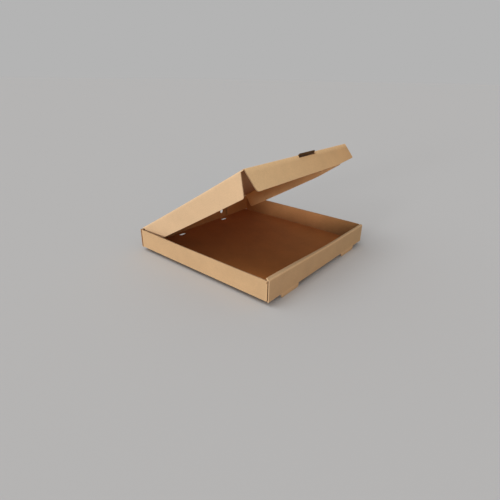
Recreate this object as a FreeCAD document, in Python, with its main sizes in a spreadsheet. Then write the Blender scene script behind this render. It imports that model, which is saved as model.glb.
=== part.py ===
import FreeCAD, Part
import os
import Sketcher

# A folding pizza box of thin corrugated board, lid part open.
# Frame, in millimetres: +X to the right, +Y from the front wall to the hinge
# at the rear wall, +Z up.  The origin is on the table, under the middle of the
# box: the four small feet stand on z = 0.

doc = FreeCAD.newDocument("PizzaBox")
sheet = doc.addObject("Spreadsheet::Sheet", "Dimensions")

DIMENSIONS = [
    # tray
    ("width", 300.0, "outside width of the tray, left to right"),
    ("depth", 300.0, "outside depth of the tray, front to rear"),
    ("wall_height", 35.0, "side and front walls, from the base's underside"),
    ("board", 1.6, "thickness of the corrugated board"),
    ("ply_gap", 0.2, "air between two layers that lie on each other"),
    ("front_gap", 0.8, "air between the front wall and its corner flaps"),
    ("fold_out", 2.0, "outer radius of a fold"),
    ("corner_out", 2.6, "outer radius of the upright corner folds"),
    ("rim_strip", 5.8, "depth of the rolled-over strip on the front wall"),
    ("rim_round", 1.8, "outer radius of the rolled rim"),
    ("inner_side_gap", 0.3, "front wall's inner panel to each side wall"),
    ("side_nose", 7.0, "rounding of the side walls' front top corner"),
    ("side_tail", 5.0, "rounding of the side walls' rear top corner"),
    ("front_dust_length", 58.0, "front corner flaps, from the corner"),
    ("rear_dust_length", 70.0, "rear corner flaps, from the corner"),
    ("dust_top", 5.5, "front corner flaps' top below the rim"),
    ("rear_dust_top", 0.5, "rear corner flaps' top below the rim"),
    ("dust_bottom", 0.3, "corner flaps' lower edge above the floor"),
    ("foot_height", 6.0, "feet, from the base's underside to the table"),
    ("foot_front_x", 95.0, "front feet's centres from the middle"),
    ("foot_front_width", 46.0, "front feet"),
    ("foot_rear_x", 104.0, "rear feet's centres from the middle"),
    ("foot_rear_width", 46.0, "rear feet"),
    ("foot_round", 3.5, "rounding of the feet's lower corners"),
    ("slot_side", 0.4, "floor slot's play on each side of a foot"),
    ("slot_depth", 6.2, "floor slots behind the feet, from the wall's inner face"),
    ("air_slot_x", 61.0, "air slots' centres from the middle"),
    ("air_slot_y", 10.0, "air slots' centres from the rear wall's inner face"),
    ("air_slot_width", 15.0, "air slots in the floor near the rear wall"),
    ("air_slot_depth", 7.4, "air slots, front to rear"),
    ("lock_width", 38.0, "tabs of the inner front panel, in the front slots"),
    ("lock_play", 0.2, "inner front panel's lower edge above the floor"),
    ("vent_diameter", 9.0, "round vent holes in the rear wall"),
    ("vent_x", 65.0, "vent holes' centres from the middle"),
    ("vent_z", 16.0, "vent holes' centres above the base's underside"),
    # lid
    ("hinge_lift", 0.3, "closed lid's underside above the rim"),
    ("crease_play", 0.1, "air under the hinge crease's bead"),
    ("lid_angle", 30.9, "opening of the lid"),
    ("lid_width", 292.0, "outside width over the lid's side flaps"),
    ("lid_length", 287.0, "hinge axis to the front flap's outer face"),
    ("lid_flap_depth", 35.0, "side flaps near their front end, from the lid's top face"),
    ("lid_flap_shallow", 2.6, "side flaps' lower edge at the rear end, above that in front"),
    ("lid_flap_rear", 5.0, "side flaps' rear end, from the hinge axis"),
    ("lid_flap_rear_low", 9.0, "the same at their lower edge"),
    ("lid_flap_front", 5.5, "side flaps' front end, behind the front crease"),
    ("lid_flap_front_low", 22.0, "the same at their lower edge"),
    ("lid_flap_round", 6.0, "rounding of the flaps' free corners"),
    ("tab_length", 3.5, "finger tab, from the front crease's axis"),
    ("tab_x", 10.0, "finger tab's centre from the middle"),
    ("tab_width", 48.0, "finger tab at its root"),
    ("tab_tip_width", 45.0, "finger tab at its tip"),
    ("tab_play", 0.3, "the notch's play around the tab"),
    # front flap
    ("flap_depth", 34.8, "front flap, from the lid's top face"),
    ("flap_angle", 6.0, "front flap, swung out from square"),
    ("flap_half_top", 143.6, "front flap's half width at its crease"),
    ("flap_half_low", 136.5, "front flap's left end at its lower edge, from the middle"),
    ("flap_slant_x", 78.0, "where the flap's lower edge starts to slant, on the right"),
    ("flap_slant_end", 140.5, "the slanting edge's end"),
    ("flap_slant_rise", 4.6, "rise of the slanting edge over its length"),
    ("flap_slant_round", 3.0, "rounding of the corner at its end"),
    ("crease_clear", 0.12, "lid's front edge to the front flap's bead"),
    ("crease_bevel", 1.0, "bevel under the lid's front edge"),
]


class Size:
    """A length with its value and its formula in the sheet."""

    def __init__(self, value, text):
        self.value = value
        self.text = text

    def __add__(self, other):
        other = size(other)
        return Size(self.value + other.value, "(%s + %s)" % (self.text, other.text))

    def __sub__(self, other):
        other = size(other)
        return Size(self.value - other.value, "(%s - %s)" % (self.text, other.text))

    def __mul__(self, number):
        return Size(self.value * number, "(%s * %s)" % (self.text, number))

    def __truediv__(self, number):
        return Size(self.value / number, "(%s / %s)" % (self.text, number))

    def __neg__(self):
        return Size(-self.value, "(0 - %s)" % self.text)


def size(x):
    return x if isinstance(x, Size) else Size(float(x), str(x))


D = {}
for row, (alias, value, note) in enumerate(DIMENSIONS, start=1):
    sheet.set("A%d" % row, note)
    sheet.set("B%d" % row, str(value))
    sheet.setAlias("B%d" % row, alias)
    D[alias] = Size(value, "Dimensions.%s" % alias)
doc.recompute()

# Levels and faces that several pieces share.
t = D["board"]
W2 = D["width"] / 2
D2 = D["depth"] / 2
Z0 = D["foot_height"]                      # base's underside
ZF = Z0 + t                                # floor's top
ZR = Z0 + D["wall_height"]                 # rim of the side and front walls
RF = D["fold_out"]
RI = RF - t
RC = D["corner_out"]
RCI = RC - t
RR = D["rim_round"]
RRI = RR - t
gap = D["ply_gap"]
HINGE_Y = D2 - t / 2
HINGE_Z = ZR + D["hinge_lift"] + t / 2
ZERO = size(0)


def origin_plane(body, role):
    for feature in body.Origin.OriginFeatures:
        if feature.Role == role:
            return feature
    raise RuntimeError("no plane " + role)


def sketch(body, name, role, offset, loops):
    """Closed outlines on one of the body's own planes.

    A loop is a list of corners (x, y); a corner may carry the arc that
    leads to it from the corner before, as (x, y, radius, centre x, centre y).
    A loop ("circle", x, y, diameter) is a round hole.
    """
    s = body.newObject("Sketcher::SketchObject", name)
    s.AttachmentSupport = [(origin_plane(body, role), "")]
    s.MapMode = "FlatFace"
    s.AttachmentOffset = FreeCAD.Placement(FreeCAD.Vector(0, 0, size(offset).value), FreeCAD.Rotation())
    s.setExpression("AttachmentOffset.Base.z", size(offset).text)
    bound = []
    rules = []

    def place(geo, pos, x, y):
        x, y = size(x), size(y)
        if abs(x.value) < 1e-9:
            rules.append(Sketcher.Constraint("PointOnObject", geo, pos, -2))
        else:
            bound.append((len(rules), x))
            rules.append(Sketcher.Constraint("DistanceX", -1, 1, geo, pos, x.value))
        if abs(y.value) < 1e-9:
            rules.append(Sketcher.Constraint("PointOnObject", geo, pos, -1))
        else:
            bound.append((len(rules), y))
            rules.append(Sketcher.Constraint("DistanceY", -1, 1, geo, pos, y.value))

    for loop in loops:
        if loop[0] == "circle":
            x, y, dia = [size(v) for v in loop[1:]]
            g = s.addGeometry(Part.Circle(FreeCAD.Vector(x.value, y.value, 0), FreeCAD.Vector(0, 0, 1), dia.value / 2), False)
            place(g, 3, x, y)
            bound.append((len(rules), dia))
            rules.append(Sketcher.Constraint("Diameter", g, dia.value))
            continue
        points = [FreeCAD.Vector(size(c[0]).value, size(c[1]).value, 0) for c in loop]
        ends = []
        for i, corner in enumerate(loop):
            a, b = points[i - 1], points[i]
            if len(corner) == 2:
                g = s.addGeometry(Part.LineSegment(a, b), False)
                ends.append((g, 1, 2))
            else:
                radius, cx, cy = [size(v) for v in corner[2:]]
                c = FreeCAD.Vector(cx.value, cy.value, 0)
                half = (a - c) + (b - c)
                half.normalize()
                g = s.addGeometry(Part.Arc(a, c + half * radius.value, b), False)
                start = s.getPoint(g, 1)
                ends.append((g, 1, 2) if (start - a).Length < 1e-6 else (g, 2, 1))
                bound.append((len(rules), radius))
                rules.append(Sketcher.Constraint("Radius", g, radius.value))
        for i, corner in enumerate(loop):
            g, first, last = ends[i]
            g2, first2, last2 = ends[(i + 1) % len(loop)]
            rules.append(Sketcher.Constraint("Coincident", g, last, g2, first2))
            place(g, last, corner[0], corner[1])
    s.addConstraint(rules)
    for number, (index, value) in enumerate(bound):
        s.renameConstraint(index, "d%d" % number)
        s.setExpression("Constraints.d%d" % number, value.text)
    s.Visibility = False
    return s


def pad(body, name, profile, length, both=False, back=False):
    """Raise a sketch by a length along its normal; both = half each way."""
    f = body.newObject("PartDesign::Pad", name)
    f.Profile = profile
    f.Length = size(length).value
    f.setExpression("Length", size(length).text)
    if both:
        f.SideType = "Symmetric"
    f.Reversed = back
    doc.recompute()
    check(f)
    return f


def pocket(body, name, profile, length, both=False, back=False):
    """Cut a sketch into the body, and make sure that it cut something."""
    before = body.Shape.Volume
    f = body.newObject("PartDesign::Pocket", name)
    f.Profile = profile
    f.Length = size(length).value
    f.setExpression("Length", size(length).text)
    if both:
        f.SideType = "Symmetric"
    f.Reversed = back
    doc.recompute()
    check(f)
    if not body.Shape.Volume < before - 0.5:
        raise RuntimeError("%s cuts nothing" % name)
    return f


def check(f):
    if "Invalid" in f.State or "Error" in f.State or f.Shape.isNull():
        raise RuntimeError("%s failed: %s" % (f.Name, f.State))


def mirrored(corners):
    """The same outline on the other side of the sketch's vertical axis."""
    out = []
    for c in corners:
        if len(c) == 2:
            out.append((-size(c[0]), c[1]))
        else:
            out.append((-size(c[0]), c[1], c[2], -size(c[3]), c[4]))
    return out


def new_body(name):
    body = doc.addObject("PartDesign::Body", name)
    body.Label = name
    return body


# ---------------------------------------------------------------- tray
tray = new_body("tray")

s = sketch(tray, "FloorOutline", "XY_Plane", Z0,
           [[(-(W2 - RF), -(D2 - RF)), (W2 - RF, -(D2 - RF)), (W2 - RF, D2 - RF), (-(W2 - RF), D2 - RF)]])
pad(tray, "Floor", s, t)

# side walls, each with the fold that joins it to the floor
right_wall = [
    (W2 - RF, Z0),
    (W2, Z0 + RF, RF, W2 - RF, Z0 + RF),
    (W2, ZR), (W2 - t, ZR), (W2 - t, Z0 + RF),
    (W2 - RF, ZF, RI, W2 - RF, Z0 + RF),
]
WALL_END = D2 - t - gap - RC               # where the side walls turn into the rear corner flaps
FRONT_END = D2 - t - D["front_gap"] - RC   # and into the front corner flaps
s = sketch(tray, "SideWallSection", "XZ_Plane", ZERO, [right_wall, mirrored(right_wall)])
pad(tray, "SideWalls", s, FRONT_END * 2, both=True)

# the side walls' top corners: well rounded in front, where the rolled rim
# passes over them, and slightly at the rear
NOSE_Y = D2 - t - D["front_gap"] - D["side_nose"]
TAIL_Y = D2 - t - gap - D["side_tail"]
OUT = D2 + 5
UP = ZR + 5
s = sketch(tray, "SideWallFrontRound", "YZ_Plane", ZERO,
           [[(-NOSE_Y, UP), (-OUT, UP), (-OUT, ZR - D["side_nose"]), (-(NOSE_Y + D["side_nose"]), ZR - D["side_nose"]),
             (-NOSE_Y, ZR, D["side_nose"], -NOSE_Y, ZR - D["side_nose"])]])
pocket(tray, "RoundSideWallsFront", s, D["width"] + 10, both=True)
s = sketch(tray, "SideWallRearRound", "YZ_Plane", ZERO,
           [[(TAIL_Y, UP), (OUT, UP), (OUT, ZR - D["side_tail"]), (TAIL_Y + D["side_tail"], ZR - D["side_tail"]),
             (TAIL_Y, ZR, D["side_tail"], TAIL_Y, ZR - D["side_tail"])]])
pocket(tray, "RoundSideWallsRear", s, D["width"] + 10, both=True)

# corner flaps: the side walls' ends turned in behind the front and rear walls


def corner_flap(sign, end, length):
    y = lambda v: size(v) * sign
    face = end + RC                        # outer face of the corner flap
    return [
        (W2, y(FRONT_END)),
        (W2, y(end)),
        (W2 - RC, y(face), RC, W2 - RC, y(end)),
        (W2 - length, y(face)), (W2 - length, y(face - t)),
        (W2 - RC, y(face - t)),
        (W2 - t, y(end), RCI, W2 - RC, y(end)),
        (W2 - t, y(FRONT_END)),
    ]


DUST_Z = ZF + D["dust_bottom"]
front_dust = corner_flap(-1, FRONT_END, D["front_dust_length"])
front_dust = front_dust[1:-1]
rear_dust = corner_flap(1, WALL_END, D["rear_dust_length"])
s = sketch(tray, "FrontCornerFlapPlan", "XY_Plane", DUST_Z, [front_dust, mirrored(front_dust)])
pad(tray, "FrontCornerFlaps", s, ZR - D["dust_top"] - DUST_Z)
s = sketch(tray, "RearCornerFlapPlan", "XY_Plane", DUST_Z, [rear_dust, mirrored(rear_dust)])
pad(tray, "RearCornerFlaps", s, ZR - D["rear_dust_top"] - DUST_Z)

# rear wall, a little taller than the rim, up to the lid's crease
REAR_TOP = HINGE_Z - t / 2 - D["crease_play"]
s = sketch(tray, "RearWallSection", "YZ_Plane", ZERO,
           [[(D2 - RF, Z0), (D2, Z0 + RF, RF, D2 - RF, Z0 + RF),
             (D2, REAR_TOP), (D2 - t, REAR_TOP), (D2 - t, Z0 + RF),
             (D2 - RF, ZF, RI, D2 - RF, Z0 + RF)]])
pad(tray, "RearWall", s, D["width"], both=True)

# front wall: outer panel, rolled rim and the start of the inner panel
ROLL = -(D2 - D["rim_strip"])              # inner face of the inner panel
s = sketch(tray, "FrontWallSection", "YZ_Plane", ZERO,
           [[(-(D2 - RF), ZF),
             (-(D2 - t), Z0 + RF, RI, -(D2 - RF), Z0 + RF),
             (-(D2 - t), ZR - RR),
             (-(D2 - RR), ZR - t, RRI, -(D2 - RR), ZR - RR),
             (ROLL - RR, ZR - t),
             (ROLL - t, ZR - RR, RRI, ROLL - RR, ZR - RR),
             (ROLL, ZR - RR),
             (ROLL - RR, ZR, RR, ROLL - RR, ZR - RR),
             (-(D2 - RR), ZR),
             (-D2, ZR - RR, RR, -(D2 - RR), ZR - RR),
             (-D2, Z0 + RF),
             (-(D2 - RF), Z0, RF, -(D2 - RF), Z0 + RF)]])
pad(tray, "FrontWall", s, D["width"], both=True)

# slots in the floor behind the feet; the front ones also take the locking
# tabs of the inner front panel
FX = D["foot_front_x"]
LIFT = size(1)


def slot(x, width, deep, sign):
    a = x - width / 2 - D["slot_side"]
    b = x + width / 2 + D["slot_side"]
    y1 = (D2 - t) * sign
    y2 = (D2 - t - deep) * sign
    return [(a, y1), (b, y1), (b, y2), (a, y2)]


front_slot = slot(FX, D["foot_front_width"], D["slot_depth"], -1)
rear_slot = slot(D["foot_rear_x"], D["foot_rear_width"], D["slot_depth"], 1)
s = sketch(tray, "SlotOutline", "XY_Plane", Z0 - LIFT,
           [front_slot, mirrored(front_slot), rear_slot, mirrored(rear_slot)])
pocket(tray, "FloorSlots", s, LIFT + t + D["dust_bottom"] / 2, back=True)

# two air slots with round ends in the floor, near the rear wall
AR = D["air_slot_depth"] / 2
AX = D["air_slot_x"]
AY = D2 - t - D["air_slot_y"]
AW = D["air_slot_width"] / 2
air_slot = [
    (AX - AW + AR, AY + AR, AR, AX - AW + AR, AY), (AX + AW - AR, AY + AR),
    (AX + AW, AY, AR, AX + AW - AR, AY), (AX + AW - AR, AY - AR, AR, AX + AW - AR, AY),
    (AX - AW + AR, AY - AR),
    (AX - AW, AY, AR, AX - AW + AR, AY),
]
s = sketch(tray, "AirSlotOutline", "XY_Plane", Z0 - LIFT, [air_slot, mirrored(air_slot)])
pocket(tray, "AirSlots", s, LIFT + t + 1, back=True)

# inner panel of the front wall, with the two tabs that lock it in the floor
IN = W2 - t - D["inner_side_gap"]
LZ = ZF + D["lock_play"]
LW = D["lock_width"] / 2
s = sketch(tray, "InnerPanelOutline", "XZ_Plane", -ROLL,
           [[(-IN, ZR - RR), (-IN, LZ), (-(FX + LW), LZ), (-(FX + LW) + 1, Z0), (-(FX - LW) - 1, Z0), (-(FX - LW), LZ),
             (FX - LW, LZ), (FX - LW + 1, Z0), (FX + LW - 1, Z0), (FX + LW, LZ), (IN, LZ), (IN, ZR - RR)]])
pad(tray, "InnerPanel", s, t)

# feet: tongues of the front and rear walls that run straight on to the table
FR = D["foot_round"]


def foot(x, width):
    a, b = x - width / 2, x + width / 2
    top = Z0 + RF
    return [(a, top), (a, FR), (a + FR, ZERO, FR, a + FR, FR), (b - FR, ZERO), (b, FR, FR, b - FR, FR), (b, top)]


front_foot = foot(FX, D["foot_front_width"])
rear_foot = foot(D["foot_rear_x"], D["foot_rear_width"])
s = sketch(tray, "FrontFeetOutline", "XZ_Plane", D2 - t, [front_foot, mirrored(front_foot)])
pad(tray, "FrontFeet", s, t)
s = sketch(tray, "RearFeetOutline", "XZ_Plane", -D2, [rear_foot, mirrored(rear_foot)])
pad(tray, "RearFeet", s, t)

# round vent holes in the rear wall
VZ = Z0 + D["vent_z"]
s = sketch(tray, "VentOutline", "XZ_Plane", -(D2 + 1),
           [("circle", D["vent_x"], VZ, D["vent_diameter"]), ("circle", -D["vent_x"], VZ, D["vent_diameter"])])
pocket(tray, "Vents", s, t + 2, back=True)


# ----------------------------------------------------------------- lid
# Drawn closed in its own frame, with the hinge crease on the X axis, then
# turned open about that crease.
lid = new_body("lid")
R = t / 2
AXIS = D["lid_length"] - R                 # hinge crease to front crease
FRONT = AXIS - R - D["crease_clear"]       # the panel's front edge
L2 = D["lid_width"] / 2
LOW = R - D["lid_flap_depth"]              # lower edge of the side flaps
BEVEL = D["crease_bevel"]

s = sketch(lid, "PanelSection", "YZ_Plane", ZERO,
           [[(ZERO, -R), (R, ZERO, R, ZERO, ZERO), (ZERO, R, R, ZERO, ZERO),
             (-FRONT, R), (-FRONT, BEVEL - R), (-FRONT + BEVEL, -R)]])
pad(lid, "Panel", s, (L2 - RF) * 2, both=True)

lid_side = [
    (L2 - RF, R), (L2, R - RF, RF, L2 - RF, R - RF),
    (L2, LOW), (L2 - t, LOW), (L2 - t, R - RF),
    (L2 - RF, -R, RI, L2 - RF, R - RF),
]
s = sketch(lid, "SideFlapSection", "XZ_Plane", size(1), [lid_side, mirrored(lid_side)])
pad(lid, "SideFlaps", s, FRONT - 1)

# the side flaps' slanting ends and lower edge, below the fold
CUT = R - RF
DEEP = LOW - 5
REAR_LOW = LOW + D["lid_flap_shallow"]
s = sketch(lid, "SideFlapEnds", "YZ_Plane", ZERO, [
    [(size(2), CUT), (-D["lid_flap_rear"], CUT), (-D["lid_flap_rear_low"], REAR_LOW),
     (-(AXIS - D["lid_flap_front_low"]), LOW), (-(AXIS - D["lid_flap_front"]), CUT),
     (-(AXIS + 5), CUT), (-(AXIS + 5), DEEP), (size(2), DEEP)],
])
pocket(lid, "TrimSideFlaps", s, D["lid_width"] + 10, both=True)

# short finger tab on the front crease, in the plane of the panel
TX = D["tab_x"]
TIP = -(AXIS + D["tab_length"])
s = sketch(lid, "TabOutline", "XY_Plane", -R,
           [[(TX - D["tab_width"] / 2, -FRONT + BEVEL), (TX - D["tab_width"] / 2, -(AXIS + 1)), (TX - D["tab_tip_width"] / 2, TIP),
             (TX + D["tab_tip_width"] / 2, TIP), (TX + D["tab_width"] / 2, -(AXIS + 1)), (TX + D["tab_width"] / 2, -FRONT + BEVEL)]])
pad(lid, "FingerTab", s, t)


def edges_at(body, spots, reach):
    """Names of the body's straight edges whose middle is near a spot."""
    names = []
    for i, e in enumerate(body.Tip.Shape.Edges, start=1):
        c = e.CenterOfMass
        for spot in spots:
            if (c - FreeCAD.Vector(*spot)).Length < reach:
                names.append("Edge%d" % i)
    if len(names) != len(spots):
        raise RuntimeError("%s: %d edges for %d corners" % (body.Label, len(names), len(spots)))
    return names


def round_corners(body, name, spots, radius, reach=0.3):
    base = body.Tip
    before = body.Shape.Volume
    names = edges_at(body, spots, reach)
    f = body.newObject("PartDesign::Fillet", name)
    f.Base = (base, names)
    f.Radius = radius.value
    f.setExpression("Radius", radius.text)
    doc.recompute()
    check(f)
    if not body.Shape.Volume < before:
        raise RuntimeError("%s rounds nothing" % name)


side = (L2 - t / 2).value
front_low = -(AXIS - D["lid_flap_front_low"]).value
rear_low = -D["lid_flap_rear_low"].value
round_corners(lid, "RoundSideFlaps",
              [(x, y, z) for x in (-side, side) for y, z in ((front_low, LOW.value), (rear_low, REAR_LOW.value))],
              D["lid_flap_round"])

# ---------------------------------------------------------- front flap
# Drawn hanging, in its own frame, with its crease on the X axis.
flap = new_body("lid_front_flap")
HT = D["flap_half_top"]
HL = D["flap_half_low"]
FLOW = R - D["flap_depth"]
SX = D["flap_slant_x"]
SE = D["flap_slant_end"]
SZ = FLOW + D["flap_slant_rise"]
s = sketch(flap, "FlapOutline", "XZ_Plane", -R, [[(-HT, ZERO), (-HL, FLOW), (SX, FLOW), (SE, SZ), (HT, ZERO)]])
pad(flap, "Flap", s, t)
s = sketch(flap, "CreaseSection", "YZ_Plane", ZERO,
           [[(-R, ZERO), (R, ZERO), (ZERO, R, R, ZERO, ZERO), (-R, ZERO, R, ZERO, ZERO)][1:]])
pad(flap, "Crease", s, HT * 2, both=True)
NW = D["tab_width"] / 2 + D["tab_play"]
NOTCH = -(D["tab_length"] + D["tab_play"])
s = sketch(flap, "NotchOutline", "XZ_Plane", t, [[(TX - NW, t), (TX - NW, NOTCH), (TX + NW, NOTCH), (TX + NW, t)]])
pocket(flap, "Notch", s, t * 2)
round_corners(flap, "RoundFlap", [(-HL.value, 0, FLOW.value)], D["lid_flap_round"])
round_corners(flap, "RoundFlapSlant", [(SE.value, 0, SZ.value)], D["flap_slant_round"])

# ----------------------------------------------------- place the pieces
angle = D["lid_angle"]
tray.Placement = FreeCAD.Placement()
for body, turn in ((lid, angle), (flap, angle + D["flap_angle"])):
    body.Placement = FreeCAD.Placement(
        FreeCAD.Vector(0, HINGE_Y.value, HINGE_Z.value),
        FreeCAD.Rotation(FreeCAD.Vector(-1, 0, 0), turn.value))
    body.setExpression("Placement.Rotation.Angle", turn.text + " * 1deg")
lid.setExpression("Placement.Base.y", HINGE_Y.text)
lid.setExpression("Placement.Base.z", HINGE_Z.text)
flap.setExpression("Placement.Base.y", "%s - %s * cos(%s * 1deg)" % (HINGE_Y.text, AXIS.text, angle.text))
flap.setExpression("Placement.Base.z", "%s + %s * sin(%s * 1deg)" % (HINGE_Z.text, AXIS.text, angle.text))
doc.recompute()

# ------------------------------------------------------ check and write
for obj in doc.Objects:
    if "Invalid" in obj.State or "Error" in obj.State:
        raise RuntimeError("%s: %s" % (obj.Name, obj.State))
pieces = [tray, lid, flap]
for body in pieces:
    shape = body.Shape
    if shape.isNull() or not shape.isValid() or len(shape.Solids) != 1:
        raise RuntimeError("%s: bad shape, %d solids" % (body.Label, len(shape.Solids)))
os.makedirs("parts", exist_ok=True)
for body in pieces:
    body.Shape.exportStep("parts/%s.step" % body.Label)
    box = body.Shape.BoundBox
    print(body.Label, "volume %.0f mm3" % body.Shape.Volume,
          "x %.2f %.2f  y %.2f %.2f  z %.2f %.2f" % (box.XMin, box.XMax, box.YMin, box.YMax, box.ZMin, box.ZMax))
print("hinge axis", HINGE_Y.value, HINGE_Z.value, "front crease", flap.Placement.Base)
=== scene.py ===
import math
import bmesh
import bpy
from mathutils import Matrix, Vector, noise


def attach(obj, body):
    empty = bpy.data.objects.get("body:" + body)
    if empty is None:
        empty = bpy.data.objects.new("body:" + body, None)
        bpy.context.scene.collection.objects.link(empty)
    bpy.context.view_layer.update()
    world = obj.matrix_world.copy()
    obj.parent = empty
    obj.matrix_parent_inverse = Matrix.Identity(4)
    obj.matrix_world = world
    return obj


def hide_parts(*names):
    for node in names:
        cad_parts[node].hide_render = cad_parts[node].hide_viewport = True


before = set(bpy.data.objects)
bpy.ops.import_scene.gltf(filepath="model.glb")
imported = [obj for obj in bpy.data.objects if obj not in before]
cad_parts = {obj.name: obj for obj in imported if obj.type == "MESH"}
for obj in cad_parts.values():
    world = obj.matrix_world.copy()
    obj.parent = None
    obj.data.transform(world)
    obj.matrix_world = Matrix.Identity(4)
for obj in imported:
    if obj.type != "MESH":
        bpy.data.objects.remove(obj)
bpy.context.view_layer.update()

sc = bpy.context.scene
sc.view_settings.view_transform = "Standard"
sc.view_settings.look = "None"
sc.view_settings.exposure = 0.0
sc.view_settings.gamma = 1.0

MM = 0.001
T = 1.6 * MM                      # board
PLY = 0.24 * MM                   # each paper liner on it
GROOVE = 0.9 * MM                 # how deep one sees between the liners
PITCH = 3.3 * MM                  # flutes
HINGE = Vector((0.0, 149.2, 42.1)) * MM
OPEN = math.radians(30.9)
SWING = math.radians(6.0)
AXIS = 286.2 * MM                 # hinge crease to front crease
Z0 = 6.0 * MM                     # base's underside
ZF = Z0 + T
RIM = 41.0 * MM
LID_HALF = 146.0 * MM
LID_LOW = -34.2 * MM              # side flaps' lower edge in front
LID_LOW_REAR = -31.6 * MM
FLAP_LOW = -34.0 * MM

TO_LID = Matrix.Translation(HINGE) @ Matrix.Rotation(-OPEN, 4, "X")
TO_FLAP = Matrix.Translation(TO_LID @ Vector((0, -AXIS, 0))) @ Matrix.Rotation(-OPEN - SWING, 4, "X")
IDENTITY = Matrix.Identity(4)
OUTER, INNER, EDGE, CORE, DARK, BASE = range(6)


# ------------------------------------------------------------- camera
def aim_camera(azimuth, elevation, roll, distance, target, focal_px):
    az, el = math.radians(azimuth), math.radians(elevation)
    back = Vector((math.sin(az) * math.cos(el), -math.cos(az) * math.cos(el), math.sin(el)))
    fwd = -back
    right = fwd.cross(Vector((0, 0, 1))).normalized()
    up = right.cross(fwd)
    c, s = math.cos(math.radians(roll)), math.sin(math.radians(roll))
    r2 = right * c + up * s
    u2 = up * c - right * s
    data = bpy.data.cameras.new("camera")
    cam = bpy.data.objects.new("camera", data)
    sc.collection.objects.link(cam)
    m = Matrix((r2, u2, back)).transposed().to_4x4()
    m.translation = Vector(target) + back * distance
    cam.matrix_world = m
    data.sensor_fit = "HORIZONTAL"
    data.sensor_width = 36.0
    data.lens = focal_px / 500.0 * 36.0
    data.clip_start = 0.01
    data.clip_end = 80
    sc.camera = cam
    return cam


aim_camera(-50.49, 24.77, 0.84, 0.70177, (-0.02752, -0.01291, 0.006), 374.8)


# ---------------------------------------------------------- materials
class Nodes:
    """Short-hand for a material's node tree."""

    def __init__(self, name):
        self.mat = bpy.data.materials.new(name)
        self.mat.use_nodes = True
        self.tree = self.mat.node_tree
        self.tree.nodes.clear()
        self.out = self.tree.nodes.new("ShaderNodeOutputMaterial")
        self.shader = self.tree.nodes.new("ShaderNodeBsdfPrincipled")
        self.tree.links.new(self.shader.outputs[0], self.out.inputs[0])

    def node(self, kind, **settings):
        n = self.tree.nodes.new(kind)
        for k, v in settings.items():
            setattr(n, k, v)
        return n

    def link(self, a, b):
        self.tree.links.new(a, b)

    def math(self, op, a, b=None, clamp=False):
        n = self.node("ShaderNodeMath", operation=op, use_clamp=clamp)
        for i, v in enumerate((a, b)):
            if v is None:
                continue
            if isinstance(v, (int, float)):
                n.inputs[i].default_value = v
            else:
                self.link(v, n.inputs[i])
        return n.outputs[0]

    def noise(self, vector, scale, detail=3.0, rough=0.55, stretch=None):
        if stretch:
            m = self.node("ShaderNodeMapping")
            m.inputs["Scale"].default_value = stretch
            self.link(vector, m.inputs["Vector"])
            vector = m.outputs[0]
        n = self.node("ShaderNodeTexNoise")
        n.inputs["Scale"].default_value = scale
        n.inputs["Detail"].default_value = detail
        n.inputs["Roughness"].default_value = rough
        self.link(vector, n.inputs["Vector"])
        return n.outputs[0]

    def ramp(self, value, low, high, a=0.0, b=1.0):
        n = self.node("ShaderNodeMapRange")
        n.clamp = True
        n.inputs["From Min"].default_value = low
        n.inputs["From Max"].default_value = high
        n.inputs["To Min"].default_value = a
        n.inputs["To Max"].default_value = b
        self.link(value, n.inputs["Value"])
        return n.outputs[0]

    def mix(self, factor, a, b, mode="MIX"):
        n = self.node("ShaderNodeMix", data_type="RGBA", blend_type=mode)
        for socket, v in ((n.inputs[0], factor), (n.inputs[6], a), (n.inputs[7], b)):
            if isinstance(v, (int, float)):
                socket.default_value = v
            elif isinstance(v, tuple):
                socket.default_value = (*v, 1.0)
            else:
                self.link(v, socket)
        return n.outputs[2]


def tint(c, k):
    return tuple(min(1.0, v * k) for v in c)


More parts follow.
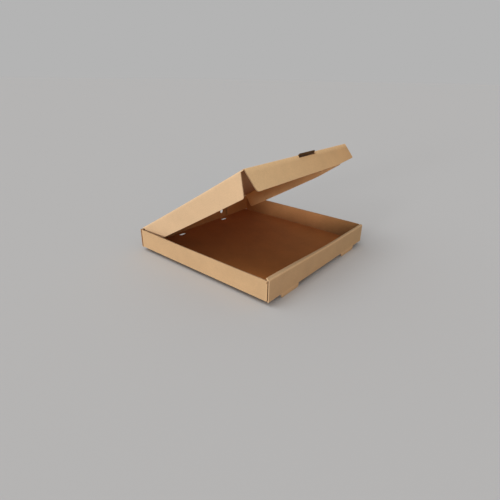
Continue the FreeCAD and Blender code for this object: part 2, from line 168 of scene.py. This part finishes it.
def kraft(name, base, spread=0.12, ripple=0.10, wear=1.18, sheen=0.06, browner_right=None, painted_corner_shade=None):
    """Brown kraft liner: mottled pulp, fine fibres, dark and pale specks and
    the faint ribs of the flutes under the paper.  The attribute "sheet" holds
    each point's place on the flat blank in metres, x across the flutes."""
    light, dark = tint(base, 1 + spread), tint(base, 1 - spread)
    k = Nodes(name)
    sheet = k.node("ShaderNodeAttribute", attribute_name="sheet").outputs["Vector"]
    cloud = k.noise(sheet, 26.0, 4.0, 0.6)
    mottle = k.noise(sheet, 240.0, 4.0, 0.65)
    fibre = k.noise(sheet, 1500.0, 3.0, 0.6, stretch=(1.0, 0.16, 1.0))
    fibre2 = k.noise(sheet, 1100.0, 2.0, 0.6, stretch=(0.2, 1.0, 1.0))
    speck = k.noise(sheet, 2600.0, 1.0, 0.4)
    colour = k.mix(k.ramp(cloud, 0.34, 0.68), dark, light)
    colour = k.mix(k.ramp(mottle, 0.35, 0.7, 0.0, 0.55), colour, base)
    colour = k.mix(k.ramp(fibre, 0.52, 0.75, 0.0, 0.28), colour, tint(light, 1.35))
    colour = k.mix(k.ramp(fibre2, 0.55, 0.8, 0.0, 0.30), colour, tint(dark, 0.62))
    colour = k.mix(k.ramp(speck, 0.70, 0.78, 0.0, 0.55), colour, tint(dark, 0.40))
    # ribs of the flutes
    split = k.node("ShaderNodeSeparateXYZ")
    k.link(sheet, split.inputs[0])
    wander = k.math("MULTIPLY", k.math("SUBTRACT", k.noise(sheet, 9.0, 2.0), 0.5), 0.006)
    rib = k.math("SINE", k.math("MULTIPLY", k.math("ADD", split.outputs[0], wander), 2 * math.pi / PITCH))
    rib01 = k.ramp(rib, -1.0, 1.0)
    colour = k.mix(k.math("MULTIPLY", rib01, ripple), colour, tint(dark, 0.72))
    if browner_right:                                           # browner towards the right end
        right = k.ramp(k.math("ADD", split.outputs[0], k.math("MULTIPLY", k.math("SUBTRACT", cloud, 0.5), 0.05)), -0.13, 0.15)
        colour = k.mix(right, colour, k.mix(1.0, colour, browner_right, "MULTIPLY"))
    if painted_corner_shade:                                        # painted shade: browner and darker at the right wall's front end, where the corner's shadow falls
        front = k.ramp(k.math("ADD", split.outputs[1], k.math("MULTIPLY", k.math("SUBTRACT", cloud, 0.5), 0.03)), -0.150, -0.045, 1.0, 0.0)
        front = k.math("MULTIPLY", front, k.ramp(split.outputs[0], 0.1478, 0.1490))
        colour = k.mix(front, colour, k.mix(1.0, colour, painted_corner_shade, "MULTIPLY"))
    # soft wear: the folds and edges are rubbed a little paler
    fold = k.node("ShaderNodeAttribute", attribute_name="fold").outputs["Fac"]
    worn = k.math("MULTIPLY", k.ramp(fold, 0.05, 1.0), k.ramp(mottle, 0.3, 0.6, 0.35, 0.9))
    colour = k.mix(worn, colour, tuple(min(1, c * wear + 0.015) for c in light))
    k.link(colour, k.shader.inputs["Base Color"])
    k.shader.inputs["Roughness"].default_value = 0.82
    k.shader.inputs["Specular IOR Level"].default_value = 0.22
    k.shader.inputs["Sheen Weight"].default_value = sheen
    k.shader.inputs["Sheen Roughness"].default_value = 0.6
    height = k.math("ADD", k.math("MULTIPLY", rib01, 0.5), k.math("ADD", k.math("MULTIPLY", fibre, 0.35), k.math("MULTIPLY", mottle, 0.5)))
    bump = k.node("ShaderNodeBump")
    bump.inputs["Strength"].default_value = 0.30
    bump.inputs["Distance"].default_value = 0.00012
    k.link(height, bump.inputs["Height"])
    k.link(bump.outputs[0], k.shader.inputs["Normal"])
    return k.mat


# one outer liner in three tones: the lid's copy lighter than the tray's and the front flap's lighter still, painted
# light for how brightly each part is lit
TRAY_OUT = kraft("kraft_liner_tray", (0.530, 0.350, 0.188), spread=0.07, ripple=0.05, browner_right=(0.87, 0.87, 0.80))
LID_OUT = kraft("kraft_liner_lid", (0.628, 0.443, 0.268), spread=0.06, ripple=0.05)
FLAP_OUT = kraft("kraft_liner_front_flap", (0.735, 0.515, 0.278), spread=0.09, ripple=0.05, browner_right=(0.73, 0.63, 0.52))
# darker and more saturated than the outer liner: partly a darker inner kraft, partly painted shade for the shadowed
# inside of the box
LINER_IN = kraft("kraft_liner_inside", (0.425, 0.209, 0.083), spread=0.10, ripple=0.05, wear=1.10)
# the same inner liner, with painted shade at the right wall's front end
WALL_IN = kraft("kraft_liner_tray_inside", (0.425, 0.209, 0.083), spread=0.10, ripple=0.05, wear=1.10, painted_corner_shade=(0.52, 0.52, 0.44))
# a deeper, more saturated copy of the inner liner for the base's inside: painted shade for the floor under the lid
FLOOR_IN = kraft("kraft_liner_floor_painted_shade", (0.490, 0.175, 0.038), spread=0.10, ripple=0.05, wear=1.10)
# a lighter copy of the inner liner for the lid's side flaps' inner faces: painted light for the bounce light that
# reaches them
LID_IN = kraft("kraft_liner_lid_inside_painted_light", (0.690, 0.435, 0.220), spread=0.10, ripple=0.05, wear=1.10)
CUT = kraft("board_cut_edge", (0.520, 0.350, 0.200), spread=0.2, ripple=0.0)
# darker than the cut edge: painted shade for the hollow flutes behind the sunk middle of each edge
DEEP = kraft("between_the_liners_painted_shade", (0.230, 0.135, 0.065), spread=0.2, ripple=0.0)
# painted shade: a near-black board colour for faces that lie in shade, the gap beside the front wall's end and the
# finger tab's end face and underside
SHADE = kraft("painted_shade_near_black", (0.100, 0.048, 0.014), spread=0.2, ripple=0.0, wear=1.0, sheen=0.0)


# ------------------------------------------------- board pieces in mesh
def smooth(a, b, x):
    x = max(0.0, min(1.0, (x - a) / (b - a)))
    return x * x * (3 - 2 * x)


def soft(p, scale, seed):
    """A slow random field from -1 to 1, the same on every run."""
    return noise.noise(Vector((p[0] / scale + seed, p[1] / scale - seed, p[2] / scale + 3.1 * seed)))


def board_mesh(node, to_world, cuts):
    """The node's own mesh in its own frame, cut into small cells."""
    bm = bmesh.new()
    bm.from_mesh(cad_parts[node].data)
    bm.transform(to_world.inverted())
    bmesh.ops.remove_doubles(bm, verts=bm.verts, dist=2e-6)
    bmesh.ops.dissolve_limit(bm, angle_limit=math.radians(0.4), verts=bm.verts, edges=bm.edges)
    for axis, places in cuts:
        normal = Vector((0, 0, 0))
        normal[axis] = 1.0
        for c in places:
            geom = bm.verts[:] + bm.edges[:] + bm.faces[:]
            bmesh.ops.bisect_plane(bm, geom=geom, dist=1e-6, plane_co=normal * c, plane_no=normal)
    bmesh.ops.triangulate(bm, faces=[f for f in bm.faces if len(f.verts) > 4])
    return bm


def steps(a, b, step):
    n = max(1, round((b - a) / step))
    return [a + (b - a) * i / n for i in range(n + 1)]


def between(value, low, high):
    return low <= value <= high


def open_edges(bm, band):
    """Opens the cut edges: the middle of each is sunk between the liners and coloured dark, painted shade for the
    hollow flutes.
    """
    faces = [f for f in bm.faces if f.material_index == EDGE and band(f.calc_center_median())]
    if faces:
        bmesh.ops.inset_region(bm, faces=faces, use_boundary=True, use_even_offset=False, thickness=0.0, depth=-GROOVE)
        for f in faces:
            f.material_index = CORE


def flutes(bm, a, b, inward, across, pitch, phase=0.0):
    """The wavy middle paper that shows between the liners along a cut edge
    from a to b: a thin closed ribbon that swings from liner to liner."""
    a, b, inward, across = Vector(a), Vector(b), Vector(inward).normalized(), Vector(across).normalized()
    length = (b - a).length
    along = (b - a) / length
    n = max(8, int(length / min(pitch / 8, 6 * MM)))
    half = 0.08 * MM
    swing = T / 2 - PLY - half - 0.01 * MM
    top, bottom = 0.06 * MM, GROOVE - 0.02 * MM
    rings = []
    for i in range(n + 1):
        s = length * i / n
        angle = 2 * math.pi * s / pitch + phase
        offset = swing * math.sin(angle)
        slope = swing * math.cos(angle) * 2 * math.pi / pitch
        tilt = math.sqrt(1 + slope * slope)
        side = (across - along * slope) / tilt * half
        mid = a + along * s + across * offset
        ring = [mid + side + inward * top, mid - side + inward * top, mid - side + inward * bottom, mid + side + inward * bottom]
        rings.append([bm.verts.new(p) for p in ring])
    made = []
    for r, q in zip(rings, rings[1:]):
        for i in range(4):
            j = (i + 1) % 4
            made.append(bm.faces.new((r[i], r[j], q[j], q[i])))
    made.append(bm.faces.new(rings[0][::-1]))
    made.append(bm.faces.new(rings[-1]))
    bmesh.ops.recalc_face_normals(bm, faces=made)
    for f in made:
        f.material_index = EDGE


def finish_piece(name, bm, to_world, body, node, mats, side_of, band, ribbons, sheet_of, fold_of, bend):
    """Opens the cut edges, bends the board, writes its place on the blank,
    and lets it ride."""
    bm.normal_update()
    for f in bm.faces:
        f.material_index = side_of(f.calc_center_median(), f.normal)
    open_edges(bm, band)
    for ribbon in ribbons:
        flutes(bm, *ribbon)
    bm.normal_update()
    sheet_layer = bm.verts.layers.float_vector.new("sheet")
    fold_layer = bm.verts.layers.float.new("fold")
    for v in bm.verts:
        v[sheet_layer] = sheet_of(v.co)
        v[fold_layer] = fold_of(v.co)
    for v in bm.verts:
        v.co = v.co + bend(v.co)
    bm.normal_update()
    for e in bm.edges:
        e.smooth = len(e.link_faces) == 2 and e.calc_face_angle(3.2) < math.radians(38)
    for f in bm.faces:
        f.smooth = True
    bm.transform(to_world)
    bm.normal_update()
    mesh = bpy.data.meshes.new(name)
    bm.to_mesh(mesh)
    bm.free()
    for m in mats:
        mesh.materials.append(m)
    ob = bpy.data.objects.new(name, mesh)
    sc.collection.objects.link(ob)
    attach(ob, body)
    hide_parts(node)
    return ob


def near(x, places, width):
    return max(0.0, 1.0 - min(abs(x - p) for p in places) / width)


# tray ---------------------------------------------------------------
WALL = 150.0 * MM
INSIDE = WALL - T
ROLL = 144.2 * MM                 # inner face of the rolled front wall
FRONT_END = 145.0 * MM            # the side walls turn in here
REAR_END = 145.6 * MM


def tray_side(c, n):
    sx = 1 if c.x > 0 else -1
    x, y, z = abs(c.x), c.y, c.z
    nx = n.x * sx
    in_slot = z < ZF - 0.02 * MM
    # upright folds between the side walls and their corner flaps
    if y < 0 and x > 145.0 * MM and between(y, -148.5 * MM, -146.3 * MM) and between(z, ZF, 38.8 * MM) and abs(n.z) < 0.7:
        return DARK                                    # painted shade: the deep gap beside the front wall's end is coloured near-black
    if x > INSIDE - 1.05 * MM and between(abs(y), FRONT_END - 0.05 * MM, 147.7 * MM if y < 0 else 148.25 * MM) and between(z, ZF + 0.1 * MM, 40.6 * MM):
        if abs(n.z) > 0.7:
            return EDGE
        if abs(n.y) < 0.995:
            return OUTER if nx > 0 else INNER
    # the rolled front wall, its inner panel and the feet below it
    if y < -ROLL + 0.05 * MM:
        if x > WALL - 0.05 * MM and abs(n.x) > 0.9:
            return EDGE
        if abs(n.x) > 0.7 and (z > Z0 or z < Z0):
            if x < INSIDE - 0.2 * MM or z < Z0:
                return EDGE
        if n.z < -0.7:
            return OUTER if (z > Z0 - 0.05 * MM and z < Z0 + 0.3 * MM and y > -WALL + 1.9 * MM and y > -INSIDE) else (INNER if z > 39 * MM else EDGE)
        if z < Z0 and abs(n.z) > 0.15:
            return EDGE
        if z > 38 * MM and n.z > 0.05:
            return OUTER
        if n.y < -0.05:
            return OUTER if y < -INSIDE - 0.3 * MM or y > -147.7 * MM and y < -147.5 * MM else INNER
        if n.y > 0.05:
            return OUTER if y > -145.0 * MM else INNER
        return INNER if n.z > 0 else OUTER
    if y > INSIDE - 0.05 * MM:
        if x > WALL - 0.05 * MM and abs(n.x) > 0.7:
            return EDGE
        if abs(n.x) > 0.7 or (abs(n.z) > 0.7 and z > RIM - MM) or (z < Z0 - 0.02 * MM and abs(n.z) > 0.15):
            return EDGE
        if n.y > 0.2 or n.z < -0.2:
            return OUTER
        if abs(n.y) < 0.2 and abs(n.z) < 0.7:
            return EDGE
        return INNER
    # side walls and corner flaps
    if x > INSIDE - 2.6 * MM and z > ZF + 0.2 * MM:
        if abs(n.z) > 0.5 and z > 28 * MM:
            return EDGE
        if x > INSIDE - 0.05 * MM:
            if nx > 0.02:
                return OUTER
            if nx < -0.02:
                return INNER
    if abs(y) > 145.8 * MM and z > ZF + 0.2 * MM:
        sy = 1 if y > 0 else -1
        if abs(n.z) > 0.7 or (abs(n.x) > 0.7 and x < 140 * MM):
            return EDGE
        if n.y * sy > 0.05 or nx > 0.05:
            return OUTER
        return INNER
    # base, and the folds round it
    if n.z < -0.1:
        return OUTER
    if n.z > 0.1:
        # the base's inside takes the floor colour, painted shade
        return BASE if x < 147.0 * MM and abs(y) < 147.0 * MM and z < ZF + 0.1 * MM else INNER
    if in_slot and x < INSIDE:
        return EDGE
    return OUTER if nx > 0 else INNER


def tray_band(c):
    x, y, z = abs(c.x), abs(c.y), c.z
    if between(x, INSIDE + PLY, WALL - PLY) and y < FRONT_END - 0.1 * MM and z > 20 * MM:
        return True                                    # side walls' rims
    if between(x, WALL - 0.01 * MM, WALL + 0.01 * MM) and between(c.y, INSIDE + PLY, WALL - PLY) and between(z, Z0 + 2.2 * MM, 39.0 * MM):
        return True                                    # ends of the rear wall; the front wall's are crushed
    if between(z, Z0 + PLY, ZF - PLY) and x < 140 * MM and between(y, 130 * MM, 148.3 * MM):
        return True                                    # slots in the base
    if between(y, INSIDE + PLY, WALL - PLY) and x < 140 * MM and z < Z0 - 0.02 * MM:
        return True                                    # feet
    if between(c.y, INSIDE + PLY, WALL - PLY) and between(z, 15 * MM, 30 * MM) and x < 80 * MM:
        return True                                    # vents
    if between(c.y, 146.6 * MM + PLY, 148.2 * MM - PLY) and x < 144 * MM and z > ZF + 0.2 * MM:
        return True                                    # rear corner flaps
    return False


def tray_sheet(p):
    x, y, z = p
    up = z - Z0
    if abs(x) > 147.9 * MM and abs(y) < 148.2 * MM:
        return Vector((math.copysign(0.148 + up, x), y, 0.011))
    if abs(y) > 144.0 * MM:
        back = 0.0 if abs(y) > 147.9 * MM else 0.045
        return Vector((x, math.copysign(0.148 + up + back, y), 0.0))
    return Vector((x, y, z))


def tray_fold(p):
    x, y, z = p
    f = 0.0
    if z < Z0 + 3.0 * MM and (abs(x) > 0.1465 or abs(y) > 0.1465):
        f = max(near(abs(x), [0.1493], 0.0025), near(abs(y), [0.1493], 0.0025)) * near(z, [Z0], 0.0030)
    if z > RIM - 2.0 * MM and y < -0.143:
        f = max(f, 0.9 * max(near(y, [-0.1493], 0.0022), near(y, [-0.1448], 0.0018)))
    if abs(x) > 0.1475 and abs(y) > 0.1445:
        f = max(f, 0.6 * near(abs(y), [0.1465], 0.0024))
    return min(1.0, f)


def tray_bend(p):
    x, y, z = p
    up = smooth(Z0 + 0.002, RIM, z)
    wall_x = smooth(0.120, 0.149, abs(x))
    wall_y = smooth(0.120, 0.147, abs(y))
    d = Vector((0, 0, 0))
    along_y = 1.0 - (y / 0.150) ** 2
    along_x = 1.0 - (x / 0.150) ** 2
    # the walls lean and bow by a fraction of a millimetre
    d.x += math.copysign(1, x) * wall_x * up * along_y * (0.9 * MM if x < 0 else 0.5 * MM)
    d.x += wall_x * up * along_y * soft((0, y, 0), 0.09, 2.0) * 0.8 * MM
    d.y += (-0.7 * MM if y < 0 else 0.25 * MM) * wall_y * up * along_x
    d.y += wall_y * up * along_x * soft((x, 0, 0), 0.10, 5.0) * 0.5 * MM * (1.0 if y < 0 else 0.3)
    # the base sags a little between its walls
    inside = (1 - smooth(0.100, 0.138, abs(x))) * (1 - smooth(0.100, 0.134, abs(y)))
    d.z += inside * (-0.9 * MM + soft((x, y, 0), 0.12, 9.0) * 0.6 * MM)
    # the rolled front wall is loose at its left end: its inner panel stands
    # off there, and the rim is higher
    if y < -143.9 * MM and z > Z0:
        loose = 1.0 - smooth(-0.150, 0.060, x)
        clear = 1.0 - smooth(0.1462, 0.1480, abs(x))   # of the side walls' ends
        inward = smooth(-0.1500, -0.1446, y) if z > 39.0 * MM else (1.0 if y > -145.9 * MM else 0.0)
        d.y += 3.4 * MM * loose * clear * inward * smooth(ZF + 0.001, RIM, z)
        part = 1.0 if abs(x) < 148.3 * MM else smooth(-0.1450, -0.1470, y)
        d.z += 2.2 * MM * loose * part * (z - Z0) / (RIM - Z0)
    # the rear corner flaps spring forward at their free ends
    if between(y, 146.0 * MM, 148.3 * MM) and between(abs(x), 79.0 * MM, 143.5 * MM) and z > ZF + 0.1 * MM:
        d.y -= 1.2 * MM * ((143.5 * MM - abs(x)) / (63.5 * MM))
    # the rear foot slots' front edges have closed up towards the wall
    if between(abs(x), 80.5 * MM, 127.5 * MM) and z < ZF + 0.05 * MM and (
            between(y, 142.1 * MM, 148.2 * MM) or between(y, 141.0 * MM, 142.1 * MM) and between(z, Z0 + 0.1 * MM, ZF - 0.1 * MM)):
        d.y += 3.8 * MM * min(1.0, 1.0 - (y - 142.2 * MM) / (6.0 * MM))
    # the rim is slightly uneven
    d.z += up * (1 - smooth(0.142, 0.148, y)) * soft((x * 0.7, y * 0.7, 0), 0.06, 13.0) * 0.35 * MM
    return d


UP, DOWN = (0, 0, 1), (0, 0, -1)
tray_ribbons = []
for s in (-1, 1):
    tray_ribbons.append(((s * 149.2 * MM, -136.0 * MM, RIM), (s * 149.2 * MM, 142.5 * MM, RIM), DOWN, (1, 0, 0), 0.074, 0.7 + s))
    tray_ribbons.append(((s * 80.0 * MM, 147.4 * MM, 8.4 * MM), (s * 80.0 * MM, 147.4 * MM, 40.1 * MM), (s, 0, 0), (0, 1, 0), PITCH, 0.3 * s))
    tray_ribbons.append(((s * 81.0 * MM, 147.4 * MM, 40.5 * MM), (s * 143.0 * MM, 147.4 * MM, 40.5 * MM), DOWN, (0, 1, 0), 0.06, 1.9 * s))
    for e in (-1, 1):
        if e > 0:
            tray_ribbons.append(((s * 150.0 * MM, 149.2 * MM, 8.6 * MM), (s * 150.0 * MM, 149.2 * MM, 38.6 * MM), (-s, 0, 0), (0, 1, 0), 0.05, 1.1 * s + e))
        x0 = s * (95.0 if e < 0 else 104.0)
        half = 23.0 - 3.6
        tray_ribbons.append((((x0 - half) * MM, e * 149.2 * MM, 0.0), ((x0 + half) * MM, e * 149.2 * MM, 0.0), UP, (0, 1, 0), PITCH, 0.4 * e))

bm = board_mesh("tray", IDENTITY, [
    (0, steps(-0.146, 0.146, 0.006) + [s * v for s in (-1, 1) for v in (0.1478, INSIDE + PLY, WALL - PLY)]),
    (1, steps(-0.142, 0.142, 0.006) + [-0.1470, 0.1470] + [s * v for s in (-1, 1) for v in (INSIDE + PLY, WALL - PLY)]
     + [146.6 * MM + PLY, 148.2 * MM - PLY]),
    (2, [Z0 + PLY, ZF - PLY, Z0 + 0.0025, 0.0135, 0.019, 0.0245, 0.030, 0.0355, 0.0385]),
])
finish_piece("tray_board", bm, IDENTITY, "tray", "tray", [TRAY_OUT, WALL_IN, CUT, DEEP, SHADE, FLOOR_IN],
             tray_side, tray_band, tray_ribbons, tray_sheet, tray_fold, tray_bend)


# lid ----------------------------------------------------------------
def lid_side(c, n):
    sx = 1 if c.x > 0 else -1
    x, y, z = abs(c.x), c.y, c.z
    nx = n.x * sx
    if y < -AXIS + 0.93 * MM and between(z, -T / 2 + 0.01 * MM, T / 2 - 0.01 * MM):
        # painted shade: the tab's end face is coloured near-black for the shade in its notch
        return DARK if between(c.x, -16 * MM, 36 * MM) else OUTER
    if z > T / 2 - 2.0 * MM and x > LID_HALF - 2.0 * MM:
        if abs(n.y) > 0.7:
            return EDGE
        return OUTER if (nx > 0 and n.z > -0.3 or n.z > 0.3) else INNER
    if x > LID_HALF - T - 0.02 * MM and z < -T / 2:
        if nx > 0.7:
            return OUTER
        # painted light: the side flaps' inner faces take the lighter lid-inside colour
        if nx < -0.7:
            return BASE
        return EDGE
    if abs(n.x) > 0.7:
        return EDGE
    if y > -0.9 * MM:
        return OUTER if n.z > -0.2 or n.y > 0.5 else INNER
    if n.z < 0.3 and y < -AXIS + 6.0 * MM and between(c.x, -16 * MM, 36 * MM):
        return DARK                                    # painted shade: the tab's underside is coloured near-black for the shadow it lies in
    return OUTER if n.z > 0.0 else INNER


def lid_band(c):
    x, y, z = abs(c.x), c.y, c.z
    if between(x, LID_HALF - T + PLY, LID_HALF - PLY) and z < -T / 2 - 0.6 * MM:
        return True                                    # side flaps
    if y < -AXIS - 0.3 * MM and between(z, -T / 2 + PLY, T / 2 - PLY):
        return True                                    # finger tab
    return False


def lid_sheet(p):
    x, y, z = p
    if abs(x) > 143.9 * MM and z < -0.5 * MM:
        return Vector((math.copysign(0.144 + (0.8 * MM - z), x), y + 0.4, 0.02))
    return Vector((x, y + 0.4, z))


def lid_low(y):
    """Height of the side flaps' lower edge."""
    return LID_LOW_REAR + (LID_LOW - LID_LOW_REAR) * (-y - 9.0 * MM) / (AXIS - 31.0 * MM)


def lid_fold(p):
    x, y, z = p
    f = near(abs(x), [LID_HALF - 0.4 * MM], 0.0022) * near(z, [0.5 * MM], 0.0024)
    f = max(f, 0.8 * near(y, [0.0], 0.0016), 0.7 * near(y, [-AXIS + 1.2 * MM], 0.0014))
    return min(1.0, f)


def lid_bend(p):
    x, y, z = p
    along = -y / AXIS
    hump = max(0.0, 1.0 - (2 * along - 1) ** 2)
    across = 1.0 - (x / LID_HALF) ** 2
    hang = smooth(0.0, 0.030, -z - 0.001) * smooth(0.140, 0.1455, abs(x))
    d = Vector((0, 0, 0))
    if y < -AXIS:                                      # the tab springs up
        out = -AXIS - y
        d.y += out * (1 - math.cos(math.radians(26)))
        d.z += out * math.sin(math.radians(26))
        return d
    d.z -= hump * 0.7 * MM
    d.z -= hump * across * 0.6 * MM
    d.z += hump * across * soft((x, y, 0), 0.13, 21.0) * 0.7 * MM
    # the side flaps lean in, and open out and in a little along their edges
    if abs(x) > 143.5 * MM and z < -1.3 * MM:
        d.x -= math.copysign(1, x) * 3.8 * MM * (-z - 1.3 * MM) / (33.0 * MM)
    d.x += math.copysign(1, x) * hang * hump * (-0.6 * MM + soft((0, y, 0), 0.10, 25.0) * 0.9 * MM)
    if x > 0.1435:                                     # the right one's front end is crushed upwards
        d.z += 3.4 * MM * smooth(0.70, 0.93, along) * smooth(0.006, 0.034, -z)
    return d


lid_ribbons = []
for s in (-1, 1):
    lid_ribbons.append(((s * 145.2 * MM, -16.0 * MM, lid_low(-16.0 * MM)), (s * 145.2 * MM, -257.0 * MM, lid_low(-257.0 * MM)), UP, (1, 0, 0), 0.083, 0.4 + s))
    # slanting front ends of the side flaps
    top, low = Vector((s * 145.2 * MM, -(AXIS - 5.5 * MM), -1.2 * MM)), Vector((s * 145.2 * MM, -(AXIS - 22.0 * MM), LID_LOW))
    run = (low - top).normalized()
    into = Vector((0, -run.z, run.y))
    into = into if into.y > 0 else -into
    lid_ribbons.append((top + run * 2.0 * MM, low - run * 5.6 * MM, into, (1, 0, 0), 3.6 * MM, 0.5 * s))
lid_ribbons.append(((-11.6 * MM, -AXIS - 3.5 * MM, 0.0), (31.6 * MM, -AXIS - 3.5 * MM, 0.0), (0, 1, 0), UP, PITCH, 0.2))

bm = board_mesh("lid", TO_LID, [
    (0, steps(-0.1438, 0.1438, 0.0072) + [s * v for s in (-1, 1) for v in (LID_HALF - T + PLY, LID_HALF - PLY)]),
    (1, steps(-0.2843, -0.0012, 0.0072) + [-AXIS]),
    (2, [-T / 2 + PLY, T / 2 - PLY, -0.0050, -0.0105, -0.016, -0.0215, -0.027]),
])
finish_piece("lid_board", bm, TO_LID, "lid", "lid", [LID_OUT, LINER_IN, CUT, DEEP, SHADE, LID_IN],
             lid_side, lid_band, lid_ribbons, lid_sheet, lid_fold, lid_bend)


# front flap -----------------------------------------------------------
def flap_side(c, n):
    if c.z > -0.02 * MM or (c.z > -0.9 * MM and abs(n.x) < 0.7 and abs(n.y) < 0.7):
        return OUTER if n.y < 0.3 else INNER
    if n.y < -0.7:
        return OUTER
    if n.y > 0.7:
        return INNER
    return EDGE


def flap_band(c):
    return between(c.y, -T / 2 + PLY, T / 2 - PLY) and c.z < -1.0 * MM


def flap_sheet(p):
    x, y, z = p
    return Vector((x, z - 0.31, y + 0.4))


def flap_fold(p):
    return 0.8 * near(p[2], [0.3 * MM], 0.0020)


def flap_bend(p):
    x, y, z = p
    hang = smooth(0.004, 0.034, -z)
    across = 1.0 - (x / 0.1436) ** 2
    # the flap is twisted: it hangs nearly square on the left and stands out
    # on the right
    swing = math.radians(-5.4 + 11.4 * (x / 0.1436 + 1.0) / 2.0)
    d = Vector((0, -math.sin(swing) * -z if z < 0 else 0.0, (1 - math.cos(swing)) * -z if z < 0 else 0.0))
    d.y += hang * across * (-0.5 * MM + soft((x, 0, 0), 0.09, 31.0) * 0.7 * MM)
    return d


flap_ribbons = [((-129.5 * MM, 0, FLAP_LOW), (77.0 * MM, 0, FLAP_LOW), UP, (0, 1, 0), PITCH, 0.0),
                ((79.0 * MM, 0, FLAP_LOW + 0.074 * MM), (136.5 * MM, 0, FLAP_LOW + 4.306 * MM), (-0.0734, 0, 0.9973), (0, 1, 0), PITCH, 2.0)]
for a, b, spare in ((Vector((-143.6, 0, 0)) * MM, Vector((-136.5, 0, -34.0)) * MM, 5.5 * MM),
                    (Vector((143.6, 0, 0)) * MM, Vector((140.5, 0, -29.4)) * MM, 3.4 * MM)):
    run = (b - a).normalized()
    into = Vector((run.z, 0, -run.x))
    into = into if into.x * a.x < 0 else -into
    flap_ribbons.append((a + run * 2.0 * MM, b - run * spare, into, (0, 1, 0), 14.0 * MM, 0.9 if a.x > 0 else -0.9))
flap_ribbons.append(((-13.8 * MM, 0, -3.8 * MM), (33.8 * MM, 0, -3.8 * MM), DOWN, (0, 1, 0), PITCH, 0.6))

bm = board_mesh("lid_front_flap", TO_FLAP, [
    (0, steps(-0.140, 0.140, 0.006)),
    (1, [-T / 2 + PLY, T / 2 - PLY]),
    (2, [-0.0085, -0.013, -0.0175, -0.022, -0.0265]),
])
finish_piece("front_flap_board", bm, TO_FLAP, "lid_front_flap", "lid_front_flap", [FLAP_OUT, LINER_IN, CUT, DEEP, SHADE],
             flap_side, flap_band, flap_ribbons, flap_sheet, flap_fold, flap_bend)


# ------------------------------------------------------------- staging
GREY = 0.456                      # the background's even grey


def stage_floor():
    mesh = bpy.data.meshes.new("floor")
    s = 40.0
    mesh.from_pydata([(-s, -s, 0), (s, -s, 0), (s, s, 0), (-s, s, 0)], [], [(0, 1, 2, 3)])
    ob = bpy.data.objects.new("floor", mesh)
    sc.collection.objects.link(ob)
    k = Nodes("studio_floor")
    k.shader.inputs["Base Color"].default_value = (FLOOR, FLOOR, FLOOR, 1)
    k.shader.inputs["Roughness"].default_value = 1.0
    k.shader.inputs["Specular IOR Level"].default_value = 0.0
    mesh.materials.append(k.mat)


def sun(name, azimuth, elevation, strength, angle, colour):
    """A far, soft light; azimuth 0 is in front of the box, 90 on its right."""
    az, el = math.radians(azimuth), math.radians(elevation)
    to_light = Vector((math.sin(az) * math.cos(el), -math.cos(az) * math.cos(el), math.sin(el)))
    data = bpy.data.lights.new(name, "SUN")
    data.energy = strength
    data.angle = math.radians(angle)
    data.color = colour
    ob = bpy.data.objects.new(name, data)
    sc.collection.objects.link(ob)
    ob.rotation_euler = (-to_light).to_track_quat("-Z", "Y").to_euler()
    return ob


KEY, TOP, FILL = 2.05, 1.00, 0.68
KEY_EL, TOP_EL, FILL_EL = 2.8, 65.0, 4.0
sun("key", -85.0, KEY_EL, KEY, 14.0, (1.0, 1.0, 0.99))
sun("top", -140.0, TOP_EL, TOP, 40.0, (1.0, 1.0, 1.0))
sun("fill", -38.0, FILL_EL, FILL, 30.0, (1.0, 0.50, 0.17))
# the floor is as bright as the world behind it, so no horizon shows
lit = GREY + sum(w / math.pi * math.sin(math.radians(e)) for w, e in ((KEY, KEY_EL), (TOP, TOP_EL)))
FLOOR = 0.98 * GREY / lit
stage_floor()

world = bpy.data.worlds.new("world")
sc.world = world
world.use_nodes = True
background = world.node_tree.nodes["Background"]
background.inputs["Color"].default_value = (GREY, GREY, GREY, 1)
background.inputs["Strength"].default_value = 1.0
